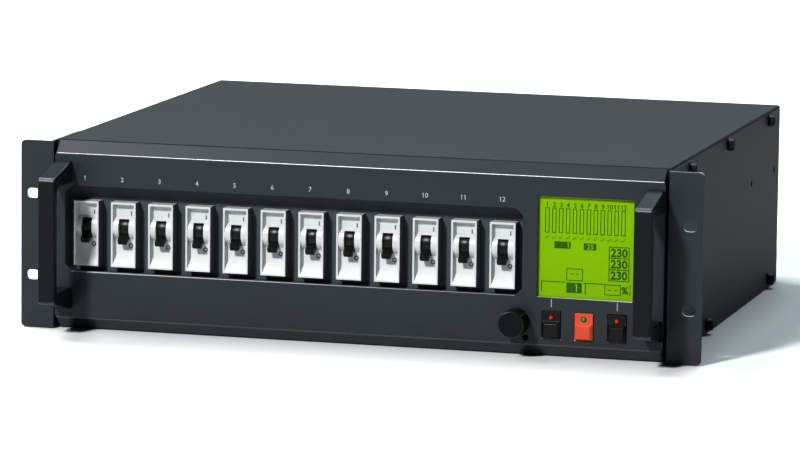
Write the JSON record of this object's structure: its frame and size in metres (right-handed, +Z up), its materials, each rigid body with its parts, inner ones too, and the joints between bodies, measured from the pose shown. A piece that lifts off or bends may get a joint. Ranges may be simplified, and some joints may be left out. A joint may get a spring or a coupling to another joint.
{
  "type": "dimmer pack",
  "caption": "Rack-mounted stage lighting dimmer with a breaker for each channel, a display, keys, an encoder knob, bow handles and rear output sockets.",
  "frame": {"origin": "middle of the underside: halfway across the ears, halfway between the handles' front and the gland's end, on the base", "axes": "+X to the right along the front, +Y from the front to the back, +Z up"},
  "size_m": [0.4826, 0.442, 0.1318],
  "materials": {
    "cover_paint": "satin powder coat",
    "fascia_paint": "satin powder coat",
    "handle_paint": "matt black powder coat",
    "pan_paint": "matt",
    "breaker_moulding": "light grey thermoset",
    "black_moulding": "satin black",
    "orange_moulding": "satin orange-red",
    "knob_moulding": "soft-touch matt",
    "red_lamp": "tinted epoxy",
    "green_lamp": "tinted epoxy",
    "display_panel": "backlit yellow-green",
    "display_window": "clear acrylic",
    "circuit_board": "solder mask green",
    "zinc_steel": "zinc plated",
    "bare_aluminium": "extruded",
    "choke_winding": "varnished winding",
    "grey_moulding": "moulded",
    "fan_moulding": "moulded black",
    "gland_moulding": "moulded nylon",
    "socket_metal": "nickel plated"
  },
  "bodies": {
    "casing": {"base_tray": "cover_paint", "top_cover": "cover_paint", "rear_panel": "cover_paint", "front_fascia": "fascia_paint", "recess_tray": "pan_paint", "rack_ear_left": "fascia_paint", "rack_ear_right": "fascia_paint", "handle_left": "handle_paint", "handle_right": "handle_paint", "breaker_01": "breaker_moulding", "breaker_02": "breaker_moulding", "breaker_03": "breaker_moulding", "breaker_04": "breaker_moulding", "breaker_05": "breaker_moulding", "breaker_06": "breaker_moulding", "breaker_07": "breaker_moulding", "breaker_08": "breaker_moulding", "breaker_09": "breaker_moulding", "breaker_10": "breaker_moulding", "breaker_11": "breaker_moulding", "breaker_12": "breaker_moulding", "din_rail": "zinc_steel", "bulkhead": "zinc_steel", "display_module": "display_panel", "display_lens": "display_window", "control_board": "circuit_board", "encoder_body": "zinc_steel", "heat_sink": "bare_aluminium", "power_board": "circuit_board", "choke_bank": "choke_winding", "terminal_block": "grey_moulding", "fan_frame_1": "fan_moulding", "fan_frame_2": "fan_moulding", "output_socket_1": "grey_moulding", "output_socket_2": "grey_moulding", "mains_gland": "gland_moulding", "control_in_socket": "socket_metal", "control_out_socket": "socket_metal"},
    "lever_01": {"breaker_lever_01": "black_moulding"},
    "lever_02": {"breaker_lever_02": "black_moulding"},
    "lever_03": {"breaker_lever_03": "black_moulding"},
    "lever_04": {"breaker_lever_04": "black_moulding"},
    "lever_05": {"breaker_lever_05": "black_moulding"},
    "lever_06": {"breaker_lever_06": "black_moulding"},
    "lever_07": {"breaker_lever_07": "black_moulding"},
    "lever_08": {"breaker_lever_08": "black_moulding"},
    "lever_09": {"breaker_lever_09": "black_moulding"},
    "lever_10": {"breaker_lever_10": "black_moulding"},
    "lever_11": {"breaker_lever_11": "black_moulding"},
    "lever_12": {"breaker_lever_12": "black_moulding"},
    "key_left": {"button_left": "black_moulding", "led_left": "red_lamp"},
    "key_centre": {"button_centre": "orange_moulding", "led_centre": "green_lamp"},
    "key_right": {"button_right": "black_moulding", "led_right": "red_lamp"},
    "knob": {"encoder_knob": "knob_moulding", "encoder_shaft": "zinc_steel"},
    "rotor_1": {"fan_rotor_1": "fan_moulding"},
    "rotor_2": {"fan_rotor_2": "fan_moulding"}
  },
  "joints": [
    {"name": "lever_01_tip", "type": "hinge", "parent": "casing", "child": "lever_01", "pos_m": [-0.1938, -0.17155, 0.072], "axis": [-1, 0, 0], "range_deg": [0, 64]},
    {"name": "lever_02_tip", "type": "hinge", "parent": "casing", "child": "lever_02", "pos_m": [-0.1668, -0.17155, 0.072], "axis": [-1, 0, 0], "range_deg": [0, 64]},
    {"name": "lever_03_tip", "type": "hinge", "parent": "casing", "child": "lever_03", "pos_m": [-0.1398, -0.17155, 0.072], "axis": [-1, 0, 0], "range_deg": [0, 64]},
    {"name": "lever_04_tip", "type": "hinge", "parent": "casing", "child": "lever_04", "pos_m": [-0.1128, -0.17155, 0.072], "axis": [-1, 0, 0], "range_deg": [0, 64]},
    {"name": "lever_05_tip", "type": "hinge", "parent": "casing", "child": "lever_05", "pos_m": [-0.0858, -0.17155, 0.072], "axis": [-1, 0, 0], "range_deg": [0, 64]},
    {"name": "lever_06_tip", "type": "hinge", "parent": "casing", "child": "lever_06", "pos_m": [-0.0588, -0.17155, 0.072], "axis": [-1, 0, 0], "range_deg": [0, 64]},
    {"name": "lever_07_tip", "type": "hinge", "parent": "casing", "child": "lever_07", "pos_m": [-0.0318, -0.17155, 0.072], "axis": [-1, 0, 0], "range_deg": [0, 64]},
    {"name": "lever_08_tip", "type": "hinge", "parent": "casing", "child": "lever_08", "pos_m": [-0.0048, -0.17155, 0.072], "axis": [-1, 0, 0], "range_deg": [0, 64]},
    {"name": "lever_09_tip", "type": "hinge", "parent": "casing", "child": "lever_09", "pos_m": [0.0222, -0.17155, 0.072], "axis": [-1, 0, 0], "range_deg": [0, 64]},
    {"name": "lever_10_tip", "type": "hinge", "parent": "casing", "child": "lever_10", "pos_m": [0.0492, -0.17155, 0.072], "axis": [-1, 0, 0], "range_deg": [0, 64]},
    {"name": "lever_11_tip", "type": "hinge", "parent": "casing", "child": "lever_11", "pos_m": [0.0762, -0.17155, 0.072], "axis": [-1, 0, 0], "range_deg": [0, 64]},
    {"name": "lever_12_tip", "type": "hinge", "parent": "casing", "child": "lever_12", "pos_m": [0.1032, -0.17155, 0.072], "axis": [-1, 0, 0], "range_deg": [0, 64]},
    {"name": "key_left_press", "type": "slide", "parent": "casing", "child": "key_left", "axis": [0, 1, 0], "range_m": [0, 0.0015], "stiffness_N_per_m": 600, "springref_m": -0.001},
    {"name": "key_centre_press", "type": "slide", "parent": "casing", "child": "key_centre", "axis": [0, 1, 0], "range_m": [0, 0.0015], "stiffness_N_per_m": 600, "springref_m": -0.001},
    {"name": "key_right_press", "type": "slide", "parent": "casing", "child": "key_right", "axis": [0, 1, 0], "range_m": [0, 0.0015], "stiffness_N_per_m": 600, "springref_m": -0.001},
    {"name": "knob_turn", "type": "hinge", "parent": "casing", "child": "knob", "pos_m": [0.1143, -0.18395, 0.0236], "axis": [0, 1, 0], "continuous": true},
    {"name": "rotor_1_spin", "type": "hinge", "parent": "casing", "child": "rotor_1", "pos_m": [-0.163, 0.176, 0.066], "axis": [0, 1, 0], "continuous": true},
    {"name": "rotor_2_spin", "type": "hinge", "parent": "casing", "child": "rotor_2", "pos_m": [-0.075, 0.176, 0.066], "axis": [0, 1, 0], "continuous": true}
  ]
}
